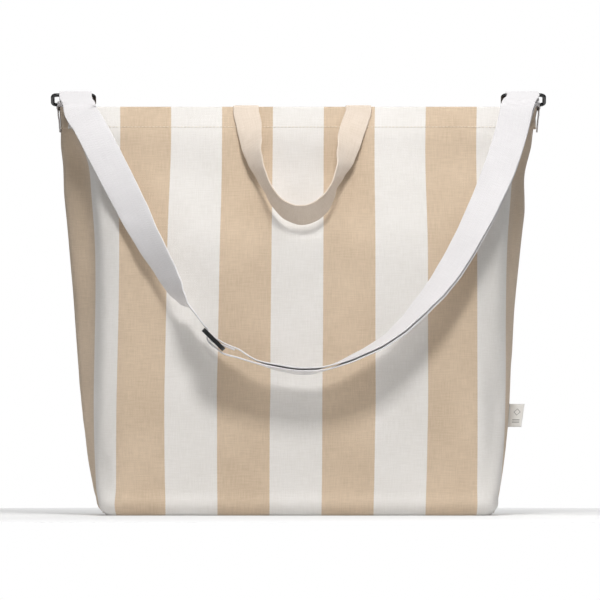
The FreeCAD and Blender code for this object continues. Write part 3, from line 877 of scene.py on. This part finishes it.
def strap_lower():
    """From the middle of the slider to the right ring, back beneath itself and round the crossbar."""
    y = SLIDER_CENTRE.y
    ply_gap = 3.5
    # Place on the outer layer, twist in degrees.
    outer = [
        (from_slider(-2.5, -6), 90), (from_slider(4, -5.7), 90), (from_slider(11, -4.8), 90),
        (from_slider(19.2, -3.7), 90), (Vector((-71, y, 184)), 90), (Vector((-50, y, 177.6)), 90),
        (Vector((-22, y, 170.5)), 86), (Vector((8, y, 166.5)), 84), (Vector((38, y, 171.5)), 91),
        (Vector((70, y, 184.5)), 98), (Vector((102, y + 1, 202)), 104), (Vector((126, y + 4, 222)), 112),
        (in_front(147, 245, 21.5), 121), (in_front(163, 264, 19), 129), (in_front(180, 289, 16), 137),
        (in_front(197, 319, 13.5), 145), (in_front(218, 362, 9.5), 158), (in_front(237, 410, 5.8), 175),
        (in_front(249, 449, 5.4), 180),
    ]
    route = [p for p, _ in outer]
    hints = twist_hints(route, [t for _, t in outer])
    normals = []
    for index, spot in enumerate(route):
        before = route[max(index - 1, 0)]
        after = route[min(index + 1, len(route) - 1)]
        tangent = (after - before).normalized()
        across = (hints[index] - tangent * hints[index].dot(tangent)).normalized()
        normals.append(tangent.cross(across))
    front_y = -MOUTH_HALF_DEPTH
    over = [Vector((255.5, front_y - 5.4, RIM_Z - 2)), Vector((258, front_y - 1.6, RIM_Z + 4.4)),
            Vector((262.4, -38, FREE_Z - 6))]
    wrap = around_bar(261, 280, 80)
    under = [Vector((262.4, -38, FREE_Z - 0.4)), Vector((258, front_y - 3, RIM_Z + 8.4)),
             Vector((255.5, front_y - 8.6, RIM_Z + 3))]
    points = route + over + wrap + under
    left = Vector((-1, 0, 0))
    all_hints = hints + [left] * (len(points) - len(route))
    for index in reversed(range(5, len(route))):
        points.append(route[index] + normals[index] * ply_gap)
        all_hints.append(hints[index])
    ending = [Vector((-60, y, 187.2)), from_slider(29, 12.4), from_slider(22, 9.3), from_slider(14, 6.2),
              from_slider(8, 4.4)]
    radius = 2.9
    for step in range(9):
        angle = math.radians(-260.0 + 200.0 * step / 8)
        ending.append(from_slider(radius * math.cos(angle), radius * math.sin(angle)))
    ending += [from_slider(9, 1.4), from_slider(16, 4.4), from_slider(26, 8.6)]
    points += ending
    all_hints += [Vector((0, 1, 0))] * len(ending)
    return ribbon("strap_lower_webbing", points, all_hints, STRAP_WIDTH, 1.8, STRAP_WEBBING, wobble=0.3)


upper = strap_upper()
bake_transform(upper)
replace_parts(upper, "strap_upper_run", "strap_threaded_length")
lower = strap_lower()
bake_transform(lower)
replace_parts(lower, "strap_doubled_run", "strap_sewn_end")


# ---- ring tabs -------------------------------------------------------------------------------
def ring_tab(name, side):
    """Doubled webbing sewn to the side seam, gathered over the rim and round the held bar."""
    outside = HALF_MOUTH + 1.4
    points = [Vector((outside - 2.6, 0, RIM_Z - 28)), Vector((outside - 1.6, 0, RIM_Z - 15)),
              Vector((outside - 0.4, 0, RIM_Z - 4)), Vector((outside - 1.6, 0, RIM_Z + 1.6)),
              Vector((outside - 6, -0.5, RIM_Z + 2.2)), Vector((RING_X + 9, -1.5, AXIS_Z - 3.6))]
    across = [Vector((0, 1, 0)), Vector((0, 1, 0)), Vector((0, 1, 0)), Vector((-0.3, 1, 0)),
              Vector((-1, 0.7, 0)), Vector((-1, 0, 0))]
    for step in range(11):
        angle = math.radians(-75 + 300.0 * step / 10)
        points.append(Vector((RING_X + 9, -3.5 * math.cos(angle), AXIS_Z + 3.5 * math.sin(angle))))
        across.append(Vector((-1, 0, 0)))
    if side < 0:
        points = [Vector((-p.x, p.y, p.z)) for p in points]
        across = [Vector((-a.x, a.y, a.z)) for a in across]
    piece = ribbon(name, points, across, 20.0, 1.7, STRAP_WEBBING, spacing=1.6)
    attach(piece, "bag")
    return piece


for name, side in (("left", -1), ("right", 1)):
    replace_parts(ring_tab(name + "_tab_webbing", side), name + "_ring_tab")


# ---- hardware: the frame's own pieces in black, the slider's edges eased -----------------------
for node in ("left_ring", "right_ring", "strap_slider"):
    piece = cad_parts[node]
    piece.data.materials.clear()
    piece.data.materials.append(BLACK)
    if node == "strap_slider":
        eased = piece.modifiers.new("eased", "BEVEL")
        eased.width = 0.0007
        eased.segments = 3
        eased.limit_method = "ANGLE"


# ---- seam allowances inside --------------------------------------------------------------------
def seam_tape(name, points, across, width, node):
    piece = ribbon(name, points, [across] * len(points), width, 1.2, SEAM_TAPE, spacing=6.0, wobble=0.5)
    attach(piece, "bag")
    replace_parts(piece, node)


for name, side in (("left", -1), ("right", 1)):
    quarter = COLUMNS // 4
    column = quarter if side > 0 else 3 * quarter
    route = []
    for row in range(2, ROWS - 4, 5):
        route.append(Vector(shell[row, column]) - Vector((side * (CLOTH + 2.0), 0, 0)))
    seam_tape(name + "_seam_tape", route, Vector((0, 1, 0)), 10.0, name + "_side_seam")
    low, high = (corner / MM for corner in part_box(name + "_corner_seam"))
    middle = (low + high) / 2
    line = [Vector((middle.x - side * 1.5, y, middle.z)) for y in np.linspace(low.y, high.y, 6)]
    seam_tape(name + "_corner_tape", line, Vector((0, 0, 1)), 9.0, name + "_corner_seam")


# ---- thread ------------------------------------------------------------------------------------
def stitches(name, spots, body, node):
    """Short rounded stitches; each spot is its middle, its direction, its outward normal and its length."""
    thickness = 0.75
    sides = 6
    # One stitch from end to end: share of its length, share of its thickness, rise.
    profile = [(-0.5, 0.15, -0.3), (-0.36, 0.85, 0.1), (0.0, 1.0, 0.3), (0.36, 0.85, 0.1), (0.5, 0.15, -0.3)]
    points = []
    faces = []
    for middle, along, normal, length in spots:
        across = along.cross(normal).normalized()
        start = len(points)
        for share, wide, rise in profile:
            centre = middle + along * (share * length) + normal * (rise * thickness)
            for k in range(sides):
                angle = 2 * math.pi * k / sides
                points.append(centre + (across * math.cos(angle) + normal * math.sin(angle))
                              * (wide * thickness / 2))
        for ring in range(len(profile) - 1):
            for k in range(sides):
                other = (k + 1) % sides
                row = start + ring * sides
                faces.append([row + k, row + other, row + sides + other, row + sides + k])
        faces.append([start + k for k in reversed(range(sides))])
        faces.append([start + (len(profile) - 1) * sides + k for k in range(sides)])
    piece = new_object(name, points, faces, material=THREAD)
    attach(piece, body)
    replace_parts(piece, node)


def surface_at(grid, turn, height):
    """Point, direction round the bag and outward normal of the cloth at a share of the way round."""
    column = turn * COLUMNS
    left = int(math.floor(column))
    part = column - left
    row = max(r for r in range(ROWS - 1) if height_of_row(r) <= height)
    rise = (height - height_of_row(row)) / (height_of_row(row + 1) - height_of_row(row))
    corners = [[Vector(grid[row + i, (left + j) % COLUMNS]) for j in (0, 1)] for i in (0, 1)]
    low = corners[0][0].lerp(corners[0][1], part)
    high = corners[1][0].lerp(corners[1][1], part)
    along = (corners[0][1] - corners[0][0]).normalized()
    normal = along.cross(high - low).normalized()
    return low.lerp(high, rise), along, normal


def hem_line(name, start_turn, node):
    pitch = 4.2
    count = int(2 * CLOTH_HALF / pitch) - 3
    spots = []
    for k in range(count):
        turn = (start_turn + (k + 2) * 0.5 / (count + 3)) % 1.0
        middle, along, normal = surface_at(shell, turn, RIM_Z - HEM + 1.9)
        spots.append((middle + normal * 0.1, along, normal, 3.0))
    stitches(name, spots, "bag", node)


hem_line("front_hem_thread", -0.25, "front_hem_stitching")
hem_line("back_hem_thread", 0.25, "back_hem_stitching")

spots = []
for side in (-1, 1):
    for x in (HANDLE_ROUTE[0][0], HANDLE_ROUTE[-1][0]):
        for drop in (6.0, 19.0):
            y = side * (MOUTH_HALF_DEPTH - (6.4 if drop < 10 else 5.0))
            for k in range(6):
                spots.append((Vector((x - 10 + 4.0 * k, y, RIM_Z - drop)), Vector((1, 0, 0)),
                              Vector((0, -side, 0)), 3.0))
stitches("handle_end_thread", spots, "bag", "handle_end_stitching")

spots = []
for side in (-1, 1):
    for drop, x in ((8.0, HALF_MOUTH + 1.4), (24.0, HALF_MOUTH - 1.4)):
        for k in range(5):
            spots.append((Vector((side * x, -7 + 3.5 * k, RIM_Z - drop)), Vector((0, 1, 0)),
                          Vector((side, 0, 0)), 2.7))
stitches("ring_tab_thread", spots, "bag", "ring_tab_stitching")

spots = []
for along, level in ((19.0, 9.3), (24.0, 11.3)):
    for k in range(8):
        spots.append((from_slider(along, level) + Vector((0, -14 + 4.0 * k, 0)), Vector((0, 1, 0)),
                      (SLIDER_UP * 0.93 - SLIDER_DOWN * 0.37), 3.0))
stitches("sewn_end_thread", spots, "slider", "sewn_end_stitching")


# ---- side label --------------------------------------------------------------------------------
def side_label():
    """Folded woven label caught in the side seam, curling a little towards the front."""
    low, high = (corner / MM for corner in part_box("side_label"))
    middle_z = (low.z + high.z) / 2
    height = 27.0
    root = low.x - 6.5
    width = 21.0
    seam_lean = 0.147
    ply_half = 0.32
    steps = 12
    points = []
    faces = []
    uvs = []
    for side in (-1, 1):
        for i in range(steps + 1):
            for j in range(steps + 1):
                across = width * i / steps
                up = height * (j / steps - 0.5)
                curl = -1.2 * (across / width) ** 2 + 0.35 * math.sin(up / 6.0) * across / width
                z = middle_z + up
                points.append((root + across + (z - 116) * seam_lean, curl + side * ply_half, z))
    width_count = steps + 1
    for side in (0, 1):
        first = side * width_count ** 2
        for i in range(steps):
            for j in range(steps):
                corners = [(i, j), (i + 1, j), (i + 1, j + 1), (i, j + 1)]
                if side:
                    corners.reverse()
                faces.append([first + a * width_count + b for a, b in corners])
                uvs += [((a / steps * width - 4.0) * MM, (b / steps - 0.5) * height * MM) for a, b in corners]
    rim = [(i, 0) for i in range(steps)] + [(steps, j) for j in range(steps)]
    rim += [(i, steps) for i in range(steps, 0, -1)] + [(0, j) for j in range(steps, 0, -1)]
    for k, (a, b) in enumerate(rim):
        c, d = rim[(k + 1) % len(rim)]
        one, two = a * width_count + b, c * width_count + d
        faces.append([two, one, one + width_count ** 2, two + width_count ** 2])
        uvs += [(0.0, 0.0)] * 4
    piece = new_object("woven_side_label", points, faces, uvs, LABEL)
    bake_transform(piece)
    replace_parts(piece, "side_label")


side_label()


# ---- floor -------------------------------------------------------------------------------------
FLOOR_RADIUS = 900.0
FLOOR_SIDES = 96
FLOOR_TURN = 2 * math.pi / FLOOR_SIDES
floor_rim = [(FLOOR_RADIUS * math.cos(k * FLOOR_TURN), FLOOR_RADIUS * math.sin(k * FLOOR_TURN), -0.4)
             for k in range(FLOOR_SIDES)]
floor = new_object("floor", floor_rim, [list(range(FLOOR_SIDES))], shade=False)
paper = Nodes("paper", 0.95)
paper_place = paper.add("ShaderNodeTexCoord").outputs["Object"]
paper_grain = paper.noise(paper_place, 300.0, 2.0)
floor.data.materials.append(paper.finish(paper.blend(paper_grain, (0.70, 0.70, 0.70), (0.67, 0.67, 0.67)),
                                         paper_grain, 0.0001))
paper.shader.inputs["Emission Color"].default_value = (1, 1, 1, 1)
paper.shader.inputs["Emission Strength"].default_value = 0.16
